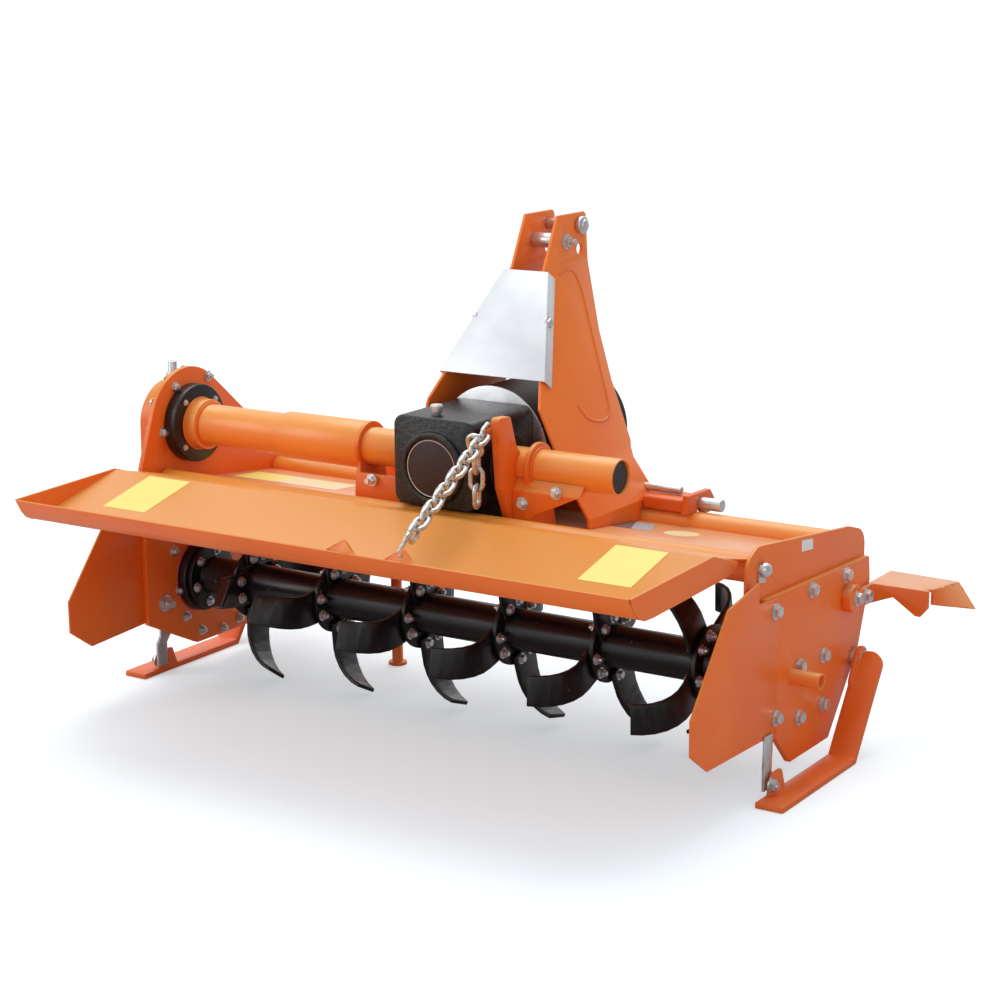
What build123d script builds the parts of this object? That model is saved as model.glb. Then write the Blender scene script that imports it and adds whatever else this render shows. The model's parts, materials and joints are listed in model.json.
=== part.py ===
from build123d import *
import math
import os

os.makedirs("parts", exist_ok=True)

# Rotary tiller for a small tractor's three-point linkage, in millimetres.
# +Y is the direction of travel, +X the right-hand side seen from behind, +Z up.
# The origin is on the ground, half way between the two side walls.

# Side walls and hood
inner_half_width = 590.0
wall_thick = 6.0
case_wall_thick = 10.0
deck_thick = 4.0
hinge_y = -46.0
hinge_z = 364.0
hinge_tube_radius = 22.5
front_tube_y = 285.0
front_tube_z = 326.0
front_tube_radius = 24.0
tube_wall = 4.0
skirt_thick = 4.0
bearing_plate_thick = 10.0
seat_gap = 0.3
running_gap = 5.0

# Drive line
drive_y = 31.0
drive_z = 458.0
left_tube_radius = 36.5
sleeve_radius = 41.0
thin_tube_radius = 32.0
right_tube_radius = 30.0
drive_tube_wall = 5.0
right_tube_wall = 3.0
drive_flange_radius = 70.0
drive_flange_thick = 25.0
collar_radius = 45.0
collar_length = 24.0

# Gearbox and input guard
centre_x = 10.0
sleeve_left_x = -inner_half_width + 227.0
sleeve_right_x = centre_x - 200.0
right_tube_end_x = centre_x + 298.0
saddle_left_length = 94.0
saddle_right_x = centre_x + 138.0
saddle_right_length = 108.0
box_half_width = 80.0
box_rear_y = -62.0
box_front_y = 112.0
box_low_z = 392.0
box_high_z = 540.0
cover_radius = 50.0
cover_thick = 8.0
guard_disc_radius = 108.0
guard_disc_thick = 2.5
bell_radius = 106.0
bell_length = 268.0
bell_wall = 3.0
shaft_radius = 17.5
journal_radius = 20.0
journal_length = 70.0
spline_length = 90.0
spline_count = 6
spline_width = 4.2
spline_depth = 3.0

# Mast and lower hitch
mast_plate = 5.5
mast_top_half = 35.0
mast_flare_half = 150.0
mast_flare_z = 442.0
mast_foot_half = 204.0
mast_foot_z = 364.0
mast_top_z = 838.0
mast_bend_z = mast_top_z - 86.0
top_pin_y = 338.0
top_pin_z = mast_top_z - 22.0
top_pin_radius = 9.5
spacer_y = 292.0
spacer_z = mast_top_z - 46.0
spacer_radius = 13.0
lower_pin_y = 300.0
lower_pin_z = 362.0
lower_pin_radius = 11.0
lower_shoulder_half = 298.0
lower_pin_stub = 42.0
lug_thick = 12.0
beam_width = 50.0
beam_height = 22.0

# Rotor
rotor_y = 46.0
rotor_z = 172.0
rotor_tube_radius = 35.0
flange_count = 6
flange_radius = 62.0
flange_thick = 8.0
flange_first_x = -inner_half_width + 121.0
flange_pitch = (-2 * flange_first_x - flange_thick) / (flange_count - 1)
blade_width = 62.0
blade_tip_width = 50.0
blade_thick = 7.0
blades_per_flange = 4
tine_stations = 9
tine_root_radius = 38.0
tine_step = 18.2
tine_bend = math.radians(80.0)
tine_sweep = math.radians(34.0)
blade_lead = 7.0

# Chain case on the left
case_depth = 44.0
case_top_radius = 76.0
case_bottom_radius = 96.0
case_top_plate_radius = 100.0
gasket_thick = 3.0

# Tailboard
board_half_length = inner_half_width - running_gap
board_thick = 3.0
end_plate_thick = 4.0

# Skids and stand
skid_inner_x = inner_half_width + 24.0
skid_width = 48.0
skid_thick = 10.0
skid_pivot_y = 278.0
skid_pivot_z = 144.0
stand_x = -282.0
stand_y = 230.0
stand_radius = 10.0
stand_foot_radius = 17.0
stand_travel = 120.0

# Chain
link_wire = 8.0
link_length = 44.0
link_width = 29.0
link_count = 13
tail_link_count = 4
ear_height = 19.0
ear_spacing = 108.0
ear_offset = 187.0


def hull_of_discs(discs, x_low, depth):
    """A plate across X whose outline wraps round two discs given as (y, z, radius)."""
    plane = Plane(origin=(x_low, 0, 0), x_dir=(0, 1, 0), z_dir=(1, 0, 0))
    (ya, za, ra), (yb, zb, rb) = discs
    gap = math.hypot(yb - ya, zb - za)
    heading = math.atan2(zb - za, yb - ya)
    spread = math.acos((ra - rb) / gap)
    corners = []
    for y, z, r, side in ((ya, za, ra, 1), (yb, zb, rb, 1), (yb, zb, rb, -1), (ya, za, ra, -1)):
        turn = heading + side * spread
        corners.append((y + r * math.cos(turn), z + r * math.sin(turn)))
    sketch = make_face(Polyline(*corners, close=True))
    for y, z, r in discs:
        sketch += Pos(y, z) * Circle(r)
    return extrude(plane * sketch, amount=depth)


def plate_x(outline, x_low, depth, radius=0.0):
    """A flat plate across X, from its outline in (y, z)."""
    plane = Plane(origin=(x_low, 0, 0), x_dir=(0, 1, 0), z_dir=(1, 0, 0))
    edge = FilletPolyline(*outline, radius=radius, close=True) if radius else Polyline(*outline, close=True)
    return extrude(plane * make_face(edge), amount=depth)


def prism_y(outline, y_low, depth):
    """A solid along Y, from its outline in (x, z)."""
    plane = Plane(origin=(0, y_low, 0), x_dir=(1, 0, 0), z_dir=(0, -1, 0))
    return extrude(plane * make_face(Polyline(*outline, close=True)), amount=-depth)


def rod_x(x_low, x_high, y, z, radius):
    return Pos((x_low + x_high) / 2, y, z) * Rot(0, 90, 0) * Cylinder(radius, x_high - x_low)


def rod_y(y_low, y_high, x, z, radius):
    return Pos(x, (y_low + y_high) / 2, z) * Rot(90, 0, 0) * Cylinder(radius, y_high - y_low)


def rod_z(z_low, z_high, x, y, radius):
    return Pos(x, y, (z_low + z_high) / 2) * Cylinder(radius, z_high - z_low)


def block(x_low, x_high, y_low, y_high, z_low, z_high):
    size = (x_high - x_low, y_high - y_low, z_high - z_low)
    return Pos((x_low + x_high) / 2, (y_low + y_high) / 2, (z_low + z_high) / 2) * Box(*size)


def tangent_point(centre, radius, outside, side):
    """Where a line from a point outside touches a circle, on its left (1) or right (-1)."""
    dy = outside[0] - centre[0]
    dz = outside[1] - centre[1]
    angle = math.atan2(dz, dy) + side * math.acos(radius / math.hypot(dy, dz))
    return centre[0] + radius * math.cos(angle), centre[1] + radius * math.sin(angle)


def deck_z(y):
    """Height of the deck's mid plane between its rear edge and the front tube."""
    return hinge_z + (y - hinge_y) * (front_tube_z - hinge_z) / (front_tube_y - hinge_y)


def moved_union(parts):
    whole = parts[0]
    for part in parts[1:]:
        whole = whole + part
    return whole


nodes = {}

# Hood: a deck plate that ends in a tube at the front and a folded lip at the hinge
wall_outer_right = inner_half_width + wall_thick
wall_outer_left = inner_half_width + case_wall_thick
deck_rear_y = hinge_y + hinge_tube_radius + running_gap
deck_front_y = front_tube_y - front_tube_radius * 0.9
deck_lip = 26.0
deck_outline = [
    (deck_rear_y, deck_z(deck_rear_y) - deck_lip),
    (deck_rear_y, deck_z(deck_rear_y)),
    (deck_front_y, deck_z(deck_front_y)),
    (deck_front_y, deck_z(deck_front_y) - deck_thick),
    (deck_rear_y + deck_thick, deck_z(deck_rear_y + deck_thick) - deck_thick),
    (deck_rear_y + deck_thick, deck_z(deck_rear_y) - deck_lip),
]
deck = plate_x(deck_outline, -inner_half_width, 2 * inner_half_width)
stand_hole = rod_z(0, 600, stand_x, stand_y, stand_radius + 5.0)
nodes["hood_deck"] = deck - stand_hole - rod_x(
    -inner_half_width, inner_half_width, front_tube_y, front_tube_z, front_tube_radius
)
nodes["hood_front_tube"] = rod_x(
    -inner_half_width, inner_half_width, front_tube_y, front_tube_z, front_tube_radius
) - rod_x(-inner_half_width, inner_half_width, front_tube_y, front_tube_z, front_tube_radius - tube_wall)

# Side walls
hood_rear_reach = 46.0
hood_front_reach = 48.0
hinge_pin_radius = 8.0
wall_right_outline = [
    (hinge_y - hood_rear_reach, 110.0),
    (hinge_y - hood_rear_reach, hinge_z + 20.0),
    (hinge_y - 8.0, hinge_z + 38.0),
    (front_tube_y - 12.0, front_tube_z + 38.0),
    (front_tube_y + hood_front_reach, front_tube_z + 20.0),
    (front_tube_y + hood_front_reach, front_tube_z - 64.0),
    (294.0, 155.0),
    (200.0, 70.0),
    (20.0, 70.0),
]
wall_right = plate_x(wall_right_outline, inner_half_width, wall_thick, 34.0)
reach = 2 * inner_half_width
hinge_hole = rod_x(-reach, reach, hinge_y, hinge_z, hinge_pin_radius)
rotor_hole = rod_x(-reach, reach, rotor_y, rotor_z, rotor_tube_radius + 10.0)
nodes["side_wall_right"] = wall_right - hinge_hole - rotor_hole

case_rear_corner = (hinge_y - hood_rear_reach - 8.0, hinge_z + 30.0)
case_front_corner = (front_tube_y + 35.0, front_tube_z + 16.0)
drive_centre = (drive_y, drive_z)
wall_left_outline = [
    (case_rear_corner[0], 108.0),
    case_rear_corner,
    tangent_point(drive_centre, case_top_plate_radius, case_rear_corner, -1),
    drive_centre,
    tangent_point(drive_centre, case_top_plate_radius, case_front_corner, 1),
    case_front_corner,
    (front_tube_y + hood_front_reach, front_tube_z - 64.0),
    (294.0, 155.0),
    (187.0, 44.0),
    (30.0, 44.0),
]
wall_left = plate_x(wall_left_outline, -wall_outer_left, case_wall_thick)
wall_left = wall_left + rod_x(
    -wall_outer_left, -inner_half_width, drive_y, drive_z, case_top_plate_radius
)
nodes["side_wall_left"] = wall_left - hinge_hole

# Chain case: a pressed cover over a gasket on the left wall
case_discs = [(drive_y, drive_z, case_top_radius), (rotor_y, rotor_z, case_bottom_radius)]
gasket_discs = [(y, z, r + 3.0) for y, z, r in case_discs]
gasket_outer_x = -wall_outer_left - gasket_thick
nodes["chain_case_gasket"] = hull_of_discs(gasket_discs, gasket_outer_x, gasket_thick)
cover = hull_of_discs(case_discs, gasket_outer_x - case_depth, case_depth)
outer_rim = cover.faces().sort_by(Axis.X)[0].edges()
nodes["chain_case_cover"] = chamfer(outer_rim, 8.0)
filler_x = gasket_outer_x - case_depth / 2
filler_z = drive_z + case_top_radius
nodes["oil_filler"] = rod_z(filler_z - 1.0, filler_z + 12.0, filler_x, drive_y, 12.0) + rod_z(
    filler_z + 12.0, filler_z + 32.0, filler_x, drive_y, 8.0
) - hull_of_discs(case_discs, gasket_outer_x - case_depth, case_depth)

# Right-hand bearing plate with its stub pipe, and the two rear skirts
bearing_outline = [
    (-45.0, 318.0),
    (front_tube_y + 45.0, 304.0),
    (front_tube_y + 50.0, 262.0),
    (294.0, 155.0),
    (187.0, 31.0),
    (47.0, 31.0),
    (-4.0, 85.0),
    (-45.0, 92.0),
]
bearing_inner_x = wall_outer_right
bearing_outer_x = bearing_inner_x + bearing_plate_thick
stub_pipe_radius = 13.0
stub_pipe_end_x = bearing_outer_x + 52.0
bearing_plate = plate_x(bearing_outline, bearing_inner_x, bearing_plate_thick, 6.0)
bearing_plate = bearing_plate + rod_x(bearing_outer_x, stub_pipe_end_x, rotor_y, rotor_z, stub_pipe_radius)
stub_bore = rod_x(bearing_outer_x - 2.0, stub_pipe_end_x, rotor_y, rotor_z, stub_pipe_radius - 3.0)
nodes["bearing_plate_right"] = bearing_plate - stub_bore

skirt_outline = [
    (-76.0, 352.0),
    (-175.0, 334.0),
    (-288.0, 196.0),
    (-288.0, 140.0),
    (-236.0, 103.0),
    (-66.0, 98.0),
]
right_skirt_front = [(-11.0, 94.0), (-11.0, 314.0), (-76.0, 318.0)]
left_skirt_front = [(-64.0, 112.0), (-64.0, 352.0)]
nodes["skirt_right"] = plate_x(skirt_outline + right_skirt_front, bearing_outer_x, skirt_thick)
nodes["skirt_left"] = plate_x(skirt_outline[:-1] + left_skirt_front, -wall_outer_left - skirt_thick, skirt_thick)

# Drive line: black bearing flange, the stepped left tube and the open right tube
drive_flange_x = -inner_half_width + drive_flange_thick
nodes["drive_bearing_left"] = rod_x(
    -inner_half_width, drive_flange_x, drive_y, drive_z, drive_flange_radius
)
box_left_x = centre_x - box_half_width
box_right_x = centre_x + box_half_width
tube_left = rod_x(drive_flange_x, drive_flange_x + collar_length, drive_y, drive_z, collar_radius)
tube_left += rod_x(drive_flange_x + collar_length, sleeve_left_x, drive_y, drive_z, left_tube_radius)
tube_left += rod_x(sleeve_left_x, sleeve_right_x, drive_y, drive_z, sleeve_radius)
tube_left += rod_x(sleeve_right_x, box_left_x, drive_y, drive_z, thin_tube_radius)
tube_bore = thin_tube_radius - drive_tube_wall
nodes["drive_tube_left"] = tube_left - rod_x(drive_flange_x, box_left_x, drive_y, drive_z, tube_bore)
right_bore = right_tube_radius - right_tube_wall
nodes["drive_tube_right"] = rod_x(
    box_right_x, right_tube_end_x, drive_y, drive_z, right_tube_radius
) - rod_x(box_right_x, right_tube_end_x, drive_y, drive_z, right_bore)

# Saddles that carry the two tubes on the deck
saddle_plate = 8.0


def saddle(x_low, x_high, tube_radius):
    """A bent plate from the deck up round a tube."""
    ring = rod_x(x_low, x_low + saddle_plate, drive_y, drive_z, tube_radius + 10.0)
    legs = []
    for x in (x_low, x_high - saddle_plate):
        legs.append(
            plate_x(
                [
                    (drive_y - 44.0, deck_z(drive_y - 44.0) + seat_gap),
                    (drive_y - 34.0, drive_z - 20.0),
                    (drive_y + 34.0, drive_z - 20.0),
                    (drive_y + 48.0, deck_z(drive_y + 48.0) + seat_gap),
                ],
                x,
                saddle_plate,
            )
        )
    back = plate_x(
        [
            (drive_y - 44.0, deck_z(drive_y - 44.0) + seat_gap),
            (drive_y - 39.0, drive_z - 40.0),
            (drive_y - 31.0, drive_z - 40.0),
            (drive_y - 36.0, deck_z(drive_y - 36.0) + seat_gap),
        ],
        x_low,
        x_high - x_low,
    )
    whole = moved_union([ring, back] + legs)
    return whole - rod_x(x_low, x_high, drive_y, drive_z, tube_radius + seat_gap)


nodes["saddle_left"] = saddle(sleeve_right_x, sleeve_right_x + saddle_left_length, thin_tube_radius)

# Right saddle: a ring on a leg, and a bent sheet behind it that runs from the bracket along the tube
bracket_plate = 16.0
bracket_inner_x = centre_x + 102.0
sheet_thick = 8.0
sheet_rear_y = -12.0
sheet_start_x = bracket_inner_x + bracket_plate + seat_gap
sheet_end_x = saddle_right_x + saddle_right_length
sheet_base_z = deck_z(sheet_rear_y) + seat_gap
saddle_ring = rod_x(saddle_right_x, saddle_right_x + saddle_plate, drive_y, drive_z, right_tube_radius + 11.0)
saddle_leg = plate_x(
    [
        (sheet_rear_y, sheet_base_z),
        (sheet_rear_y, drive_z - 30.0),
        (drive_y + 34.0, drive_z - 30.0),
        (drive_y + 48.0, deck_z(drive_y + 48.0) + seat_gap),
    ],
    saddle_right_x,
    saddle_plate,
)
sheet_section = [
    (sheet_rear_y, sheet_base_z),
    (sheet_rear_y, drive_z - 33.0),
    (drive_y - 25.0, drive_z - 13.0),
    (drive_y - 17.0, drive_z - 18.0),
    (sheet_rear_y + sheet_thick, drive_z - 37.0),
    (sheet_rear_y + sheet_thick, sheet_base_z),
]
sheet_front = [
    (sheet_start_x, 300.0),
    (sheet_start_x + 22.0, 300.0),
    (sheet_start_x + 22.0, sheet_base_z + 8.0),
    (sheet_start_x + 45.0, sheet_base_z + 28.0),
    (sheet_end_x, drive_z - 31.0),
    (sheet_end_x, drive_z),
    (sheet_start_x, drive_z),
]
saddle_sheet = plate_x(sheet_section, sheet_start_x, sheet_end_x - sheet_start_x)
saddle_sheet = saddle_sheet & prism_y(sheet_front, -60.0, 160.0)
nodes["saddle_right"] = moved_union([saddle_ring, saddle_leg, saddle_sheet]) - rod_x(
    sheet_start_x, sheet_end_x, drive_y, drive_z, right_tube_radius + seat_gap
)

# Chain bracket: a thick plate beside the gearbox, with the pin that the chain hangs on
bracket_outline = [
    (-49.5, 549.0),
    (-14.0, 547.0),
    (4.0, 494.0),
    (30.0, 470.0),
    (40.0, deck_z(40.0) + seat_gap),
    (-8.0, deck_z(-8.0) + seat_gap),
    (-38.0, 430.0),
    (-45.0, 500.0),
]
hook_y = -42.0
hook_z = 526.0
hook_pin_radius = 5.5
hook_pin_length = 20.0
bracket = plate_x(bracket_outline, bracket_inner_x, bracket_plate, 7.0)
bracket += rod_x(bracket_inner_x - hook_pin_length, bracket_inner_x, hook_y, hook_z, hook_pin_radius)
nodes["chain_bracket"] = bracket - rod_x(0, reach, drive_y, drive_z, right_tube_radius + seat_gap)

# Gearbox housing with cross bosses, feet and rear cover
housing = block(box_left_x, box_right_x, box_rear_y, box_front_y, box_low_z, box_high_z)
housing = fillet(housing.edges().filter_by(Axis.Y), 18.0)
foot_rear_y = deck_rear_y + 4.0
foot_front_y = box_front_y - 10.0
foot = plate_x(
    [
        (foot_rear_y, deck_z(foot_rear_y) + seat_gap),
        (foot_rear_y, box_low_z + 10.0),
        (foot_front_y, box_low_z + 10.0),
        (foot_front_y, deck_z(foot_front_y) + seat_gap),
    ],
    box_left_x + 12.0,
    2 * box_half_width - 24.0,
)
housing = housing + foot
end_ring_radius = cover_radius + 10.0
end_ring_depth = cover_thick + 3.0
side_boss_radius = 50.0
side_boss_depth = 10.0
housing += rod_y(box_rear_y - end_ring_depth, box_rear_y, centre_x, drive_z, end_ring_radius)
housing -= rod_y(box_rear_y - end_ring_depth, box_rear_y, centre_x, drive_z, cover_radius + seat_gap)
for boss_x, tube_radius in ((box_left_x - side_boss_depth, thin_tube_radius), (box_right_x, right_tube_radius)):
    boss = rod_x(boss_x, boss_x + side_boss_depth, drive_y, drive_z, side_boss_radius)
    housing += boss - rod_x(boss_x, boss_x + side_boss_depth, drive_y, drive_z, tube_radius + seat_gap)
nodes["gearbox_housing"] = housing
nodes["gearbox_cover"] = rod_y(box_rear_y - cover_thick, box_rear_y, centre_x, drive_z, cover_radius)
nodes["gearbox_breather"] = rod_z(
    box_high_z, box_high_z + 16.0, centre_x - 10.0, box_rear_y + 24.0, 8.0
)

# Input guard: disc, bell and the splined shaft inside it
disc_front_y = box_front_y + guard_disc_thick
shaft_clear = 4.0
guard_disc = rod_y(box_front_y, disc_front_y, centre_x, drive_z, guard_disc_radius)
guard_bell = rod_y(disc_front_y, disc_front_y + bell_length, centre_x, drive_z, bell_radius)
guard_bell -= rod_y(
    disc_front_y + bell_wall, disc_front_y + bell_length, centre_x, drive_z, bell_radius - bell_wall
)
shaft_hole = rod_y(box_front_y - 1, disc_front_y + bell_length, centre_x, drive_z, journal_radius + shaft_clear)
nodes["guard_disc"] = guard_disc - shaft_hole
nodes["guard_bell"] = guard_bell - shaft_hole
shaft_start_y = box_front_y + seat_gap
spline_start_y = shaft_start_y + journal_length
spline_end_y = spline_start_y + spline_length
pto_shaft = rod_y(shaft_start_y, spline_start_y, centre_x, drive_z, journal_radius)
pto_shaft += rod_y(spline_start_y, spline_end_y, centre_x, drive_z, shaft_radius)
for step in range(spline_count):
    turn = 360.0 / spline_count * step
    slot = Pos(0, 0, shaft_radius) * Box(spline_width, spline_length, 2 * spline_depth)
    slot = Pos(centre_x, spline_start_y + spline_length / 2, drive_z) * Rot(0, turn, 0) * slot
    pto_shaft -= slot
nodes["pto_shaft"] = pto_shaft

# Mast: two folded plates, joined at the top by a spacer
mast_seat_z = front_tube_z + front_tube_radius + seat_gap
mast_tube_y = front_tube_y - front_tube_radius - 3.0
mast_outline = [
    (268.0, mast_top_z),
    (354.0, mast_top_z),
    (360.0, mast_top_z - 6.0),
    (366.0, mast_bend_z),
    (334.0, 638.0),
    (324.0, 557.0),
    (325.0, 451.0),
    (310.0, 426.0),
    (316.0, mast_seat_z),
    (mast_tube_y, mast_seat_z),
    (mast_tube_y, deck_z(mast_tube_y) + seat_gap),
    (90.0, deck_z(90.0) + seat_gap),
    (91.0, 478.0),
    (84.0, 540.0),
    (98.0, 562.0),
    (225.0, mast_bend_z),
]
mast_profile = [
    (mast_top_half, mast_top_z),
    (mast_top_half, mast_bend_z),
    (mast_flare_half, mast_flare_z),
    (mast_foot_half, mast_foot_z),
    (mast_foot_half, 300.0),
]


second_hole_drop = 41.0


def mast_side(side):
    """One mast plate: its fold seen from behind, cut to its outline seen from the side."""
    outer = [(centre_x + side * half, z) for half, z in mast_profile]
    inner = [(centre_x + side * (half - mast_plate * 1.1), z) for half, z in reversed(mast_profile)]
    folded = prism_y(outer + inner, 40.0, 360.0)
    blank = plate_x(mast_outline, centre_x - reach, 2 * reach)
    plate = folded & blank
    plate -= rod_x(centre_x - reach, centre_x + reach, top_pin_y, top_pin_z, top_pin_radius)
    plate -= rod_x(centre_x - reach, centre_x + reach, spacer_y, spacer_z, 6.0)
    plate -= rod_x(centre_x - reach, centre_x + reach, top_pin_y, top_pin_z - second_hole_drop, top_pin_radius)
    return plate


storage_pin_radius = 6.5
storage_pin_y = front_tube_y + 14.0
storage_pin_z = mast_seat_z + beam_height + storage_pin_radius + 1.0
storage_pin = rod_x(
    centre_x + mast_foot_half - 26.0, centre_x + mast_foot_half + 58.0, storage_pin_y, storage_pin_z, storage_pin_radius
)
nodes["storage_pin"] = storage_pin
nodes["mast_plate_left"] = mast_side(-1)
nodes["mast_plate_right"] = mast_side(1) - storage_pin
inner_top_half = mast_top_half - mast_plate * 1.1
pin_stick_out = 14.0
top_pin = rod_x(
    centre_x - mast_top_half - pin_stick_out,
    centre_x + mast_top_half + pin_stick_out,
    top_pin_y,
    top_pin_z,
    top_pin_radius,
)
top_pin += rod_x(
    centre_x + mast_top_half, centre_x + mast_top_half + 10.0, top_pin_y, top_pin_z, top_pin_radius + 6.0
)
nodes["top_link_pin"] = top_pin
nodes["mast_spacer"] = rod_x(
    centre_x - inner_top_half, centre_x + inner_top_half, spacer_y, spacer_z, spacer_radius
)

# Mast cover: a folded tray over the rear edges of the mast plates
cover_sheet = 2.0
cover_depth = 27.0
cover_run = 205.0
cover_start = 6.0
slope_y = mast_outline[-1][0] - mast_outline[-2][0]
slope_z = mast_outline[-1][1] - mast_outline[-2][1]
slope_length = math.hypot(slope_y, slope_z)
flare_rate = (mast_flare_half - mast_top_half) / (mast_bend_z - mast_flare_z) * slope_z / slope_length
cover_plane = Plane(
    origin=(centre_x, mast_outline[-1][0], mast_outline[-1][1]),
    x_dir=(1, 0, 0),
    z_dir=(0, -slope_z / slope_length, slope_y / slope_length),
)


def cover_outline(extra, overrun):
    low_half = mast_top_half + flare_rate * (cover_run + overrun) + extra
    top_half = mast_top_half + flare_rate * (cover_start - overrun) + extra
    top_y = overrun - cover_start
    return [(-low_half, -cover_run - overrun), (low_half, -cover_run - overrun), (top_half, top_y), (-top_half, top_y)]


side_slack = seat_gap + cover_depth * slope_y / slope_z * flare_rate
cover_blank = make_face(Polyline(*cover_outline(side_slack + cover_sheet, 0), close=True))
cover_inside = make_face(Polyline(*cover_outline(side_slack, 10.0), close=True))
back_offset = seat_gap + 0.6
blank_plane = cover_plane.offset(back_offset + cover_sheet - cover_depth)
inside_plane = cover_plane.offset(back_offset - 2 * cover_depth)
mast_cover = extrude(blank_plane * cover_blank, amount=cover_depth)
mast_cover -= extrude(inside_plane * cover_inside, amount=2 * cover_depth)
nodes["mast_cover"] = mast_cover

# Lower hitch: a beam each side of the mast, a lug at its end and the pin in it
beam_low_z = mast_seat_z
lug_inner_half = lower_shoulder_half - lug_thick
beams = []
for side in (-1, 1):
    x_a = centre_x + side * (mast_foot_half + seat_gap)
    x_b = centre_x + side * lug_inner_half
    beam = block(
        min(x_a, x_b),
        max(x_a, x_b),
        front_tube_y - front_tube_radius + 1.0,
        lower_pin_y + beam_width / 2,
        beam_low_z,
        beam_low_z + beam_height,
    )
    beams.append(Part() + beam)
nodes["hitch_beams"] = Compound(children=beams)
lug_low_z = mast_seat_z
lug_outline = [
    (250.0, lug_low_z),
    (257.0, 382.0),
    (335.0, 380.0),
    (352.0, 360.0),
    (352.0, 340.0),
    (front_tube_y + front_tube_radius + 4.0, 340.0),
    (front_tube_y + front_tube_radius + 4.0, lug_low_z),
]
lugs = []
pins = []
for side in (-1, 1):
    x_face = centre_x + side * lower_shoulder_half
    x_back = centre_x + side * lug_inner_half
    lugs.append(plate_x(lug_outline, min(x_face, x_back), lug_thick, 2.0))
    x_end = centre_x + side * (lower_shoulder_half + lower_pin_stub)
    pins.append(rod_x(min(x_back, x_end), max(x_back, x_end), lower_pin_y, lower_pin_z, lower_pin_radius))
nodes["hitch_lugs"] = Compound(children=[Part() + lug - pin for lug, pin in zip(lugs, pins)])
nodes["lower_hitch_pins"] = Compound(children=[Part() + pin for pin in pins])

# Rotor bearings
bearing_depth = 18.0
nodes["rotor_bearing_left"] = rod_x(
    -inner_half_width, -inner_half_width + bearing_depth, rotor_y, rotor_z, 66.0
)
nodes["rotor_bearing_right"] = rod_x(
    inner_half_width - bearing_depth, wall_outer_right, rotor_y, rotor_z, rotor_tube_radius + 9.0
)

# Rotor: tube with end flange and tine flanges
rotor_left_x = -inner_half_width + bearing_depth + seat_gap
rotor_right_x = inner_half_width - bearing_depth - seat_gap
rotor_shaft = rod_x(rotor_left_x, rotor_right_x, rotor_y, rotor_z, rotor_tube_radius)
rotor_shaft += rod_x(rotor_left_x, rotor_left_x + 10.0, rotor_y, rotor_z, 60.0)
flange_xs = [flange_first_x + flange_pitch * step for step in range(flange_count)]
for x in flange_xs:
    rotor_shaft += rod_x(x, x + flange_thick, rotor_y, rotor_z, flange_radius)
nodes["rotor_shaft"] = rotor_shaft


def tine(hand):
    """A hoe tine: a broad shank in the flange's plane that bends sideways, lofted through sections."""
    sections = []
    radius = tine_root_radius
    lag = 0.0
    side = 0.0
    for number in range(tine_stations):
        share = number / (tine_stations - 1)
        bend = tine_bend * max(0.0, share - 0.22) / 0.78
        sweep_angle = tine_sweep * share
        along = Vector(
            math.cos(bend) * math.cos(sweep_angle),
            -math.cos(bend) * math.sin(sweep_angle),
            hand * math.sin(bend),
        )
        across = Vector(math.sin(sweep_angle), math.cos(sweep_angle), 0)
        plane = Plane(origin=(radius, lag, side), x_dir=across, z_dir=along)
        width = blade_width + (blade_tip_width - blade_width) * share
        sections.append(plane * Rectangle(width, blade_thick))
        radius += tine_step * along.X
        lag += tine_step * along.Y
        side += tine_step * along.Z
    return loft(sections, ruled=True)


tine_right = tine(1)
tine_left = tine(-1)
tines = []
for index, x in enumerate(flange_xs):
    for number in range(blades_per_flange):
        hand = -1 if number % 2 == 0 else 1
        if index == 0:
            hand = 1
        if index == flange_count - 1:
            hand = -1
        shape = tine_right if hand > 0 else tine_left
        turn = 360.0 / blades_per_flange * number + blade_lead * index
        seat_x = x + flange_thick + blade_thick / 2 + seat_gap if hand > 0 else x - blade_thick / 2 - seat_gap
        stand_up = Plane(origin=(0, 0, 0), x_dir=(0, 1, 0), z_dir=(1, 0, 0))
        placed = Pos(seat_x, rotor_y, rotor_z) * Rot(turn, 0, 0) * (stand_up.location * shape)
        tines.append(Part() + placed)
nodes["rotor_tines"] = Compound(children=tines)

# Tailboard: pivot tube, sheet, end plates
board_profile = [
    (hinge_y - 12.0, hinge_z + 17.0),
    (-177.0, 410.0),
    (-357.0, 366.0),
    (-381.0, 368.0),
    (-394.0, 373.0),
    (-403.0, 383.0),
    (-417.0, 405.0),
]


def ribbon(points, thick):
    """A closed outline of a bent sheet from the points of its upper face."""
    under = []
    for index, (y, z) in enumerate(points):
        before = points[max(0, index - 1)]
        after = points[min(len(points) - 1, index + 1)]
        dy = after[0] - before[0]
        dz = after[1] - before[1]
        size = math.hypot(dy, dz)
        under.append((y - dz / size * thick, z + dy / size * thick))
    return list(points) + list(reversed(under))


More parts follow.
